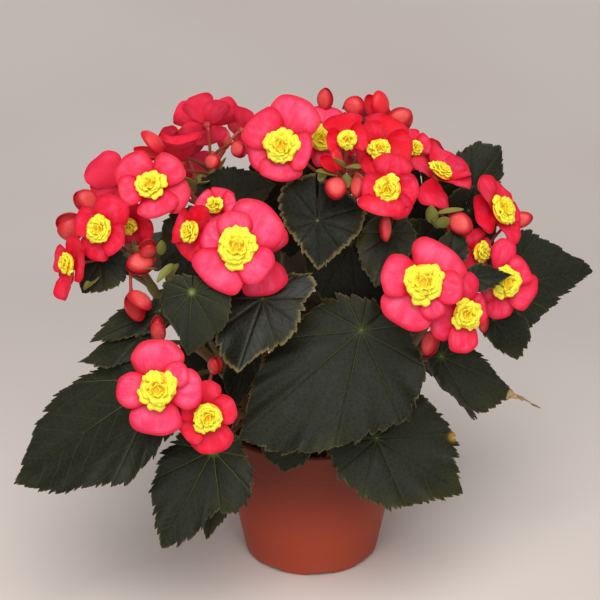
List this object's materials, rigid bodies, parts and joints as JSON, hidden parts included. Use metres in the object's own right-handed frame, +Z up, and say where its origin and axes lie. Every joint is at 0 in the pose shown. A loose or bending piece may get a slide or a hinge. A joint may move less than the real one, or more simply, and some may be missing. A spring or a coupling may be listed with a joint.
{
  "type": "potted begonia",
  "caption": "Potted begonia with broad toothed dark leaves and sprays of pink-red double blooms with ruffled yellow centres, in a tapered terracotta-coloured plastic pot.",
  "frame": {"origin": "centre of the flat pad in the middle of the pot's underside, on the plane that the pot stands on", "axes": "+Z up along the pot's axis, the front of the plant as seen in the picture faces -Y, +X to the right of that view"},
  "size_m": [0.3674, 0.2772, 0.3282],
  "materials": {
    "pot_plastic": "satin moulded plastic, terracotta colour",
    "potting_soil": "dark crumbly peat",
    "stem": "fleshy green and brown stem and small leaves",
    "leaf": "dark green satin leaf with a lighter vein network and a tan toothed edge",
    "petal": "soft pink-red petal, deeper red at its edge",
    "bloom_centre": "ruffled yellow petaloids with orange shade"
  },
  "bodies": {
    "root": {"centre_left_hidden": "bloom_centre", "centre_left_low": "bloom_centre", "centre_left_middle": "bloom_centre", "centre_left_top": "bloom_centre", "centre_low_left": "bloom_centre", "centre_low_right": "bloom_centre", "centre_middle_behind": "bloom_centre", "centre_middle_front": "bloom_centre", "centre_middle_side": "bloom_centre", "centre_near_left": "bloom_centre", "centre_near_right": "bloom_centre", "centre_rear_left_low": "bloom_centre", "centre_rear_left_side": "bloom_centre", "centre_rear_left_top": "bloom_centre", "centre_rear_low": "bloom_centre", "centre_rear_right": "bloom_centre", "centre_rear_top": "bloom_centre", "centre_right_inner": "bloom_centre", "centre_right_low": "bloom_centre", "centre_right_middle": "bloom_centre", "centre_right_top": "bloom_centre", "centre_top_far": "bloom_centre", "centre_top_left": "bloom_centre", "centre_top_low": "bloom_centre", "centre_top_middle": "bloom_centre", "centre_top_red": "bloom_centre", "centre_top_right": "bloom_centre", "leaf_centre": "leaf", "leaf_far_left": "leaf", "leaf_far_right": "leaf", "leaf_front": "leaf", "leaf_glossy": "leaf", "leaf_low_left": "leaf", "leaf_low_right": "leaf", "leaf_right": "leaf", "leaf_young": "leaf", "pot": "pot_plastic", "soil": "potting_soil", "spray_left": "petal", "spray_low": "petal", "spray_middle": "petal", "spray_near": "petal", "spray_rear": "petal", "spray_rear_left": "petal", "spray_right": "petal", "spray_top": "petal", "spray_upper": "petal", "stem_left": "stem", "stem_low": "stem", "stem_middle": "stem", "stem_near": "stem", "stem_rear": "stem", "stem_rear_left": "stem", "stem_right": "stem", "stem_top": "stem", "stem_upper": "stem"}
  },
  "joints": []
}
